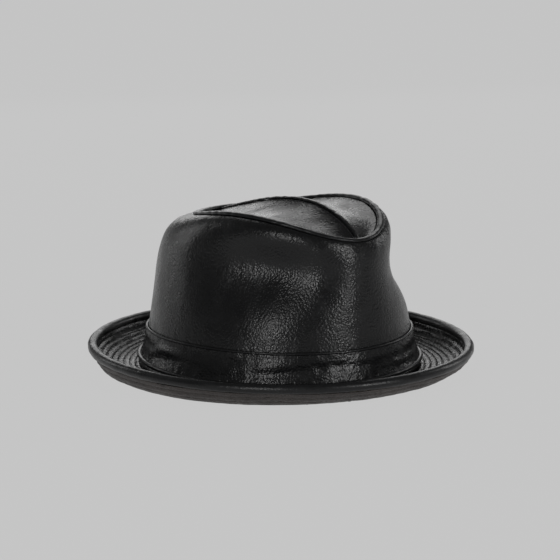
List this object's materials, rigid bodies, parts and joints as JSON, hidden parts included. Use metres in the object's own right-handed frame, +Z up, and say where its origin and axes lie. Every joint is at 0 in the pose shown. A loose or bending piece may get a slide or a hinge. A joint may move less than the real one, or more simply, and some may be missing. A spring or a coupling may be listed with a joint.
{
  "type": "fedora hat",
  "caption": "Leather fedora: pinched crown with a raised centre seam, piped hatband and a short brim turned up all round to a rolled, corded edge.",
  "frame": {"origin": "centre of the brim's outline, on the flat underside the hat rests on", "axes": "+Z up through the crown, -Y the way the wearer faces, +X the wearer's left"},
  "size_m": [0.2724, 0.3042, 0.1285],
  "materials": {
    "black_leather": "fine pebbled grain, semi-gloss",
    "piping_leather": "smooth folded edge, semi-gloss",
    "under_leather": "matt underside, warm grey-black",
    "sweat_leather": "smooth, matt",
    "satin": "satin sheen",
    "buckram": "matt stiffened weave",
    "cotton_cord": "matt twisted cotton",
    "reed_plastic": "satin extruded"
  },
  "bodies": {
    "root": {"crown_side_wall": "black_leather", "crown_side_interlining": "buckram", "crown_side_lining": "satin", "crown_tip_left": "black_leather", "crown_tip_right": "black_leather", "crown_tip_centre_strip": "black_leather", "crown_tip_interlining": "buckram", "crown_tip_lining": "satin", "crown_rim_welt": "piping_leather", "crown_back_strip": "black_leather", "hatband": "black_leather", "hatband_upper_piping": "piping_leather", "hatband_lower_piping": "piping_leather", "hatband_back_tab": "black_leather", "sweatband": "sweat_leather", "sweatband_reed": "reed_plastic", "sweatband_joint_tape": "sweat_leather", "brim_top_leather": "black_leather", "brim_interlining": "buckram", "brim_under_leather": "under_leather", "brim_edge_binding": "black_leather", "brim_edge_cord": "cotton_cord"}
  },
  "joints": []
}
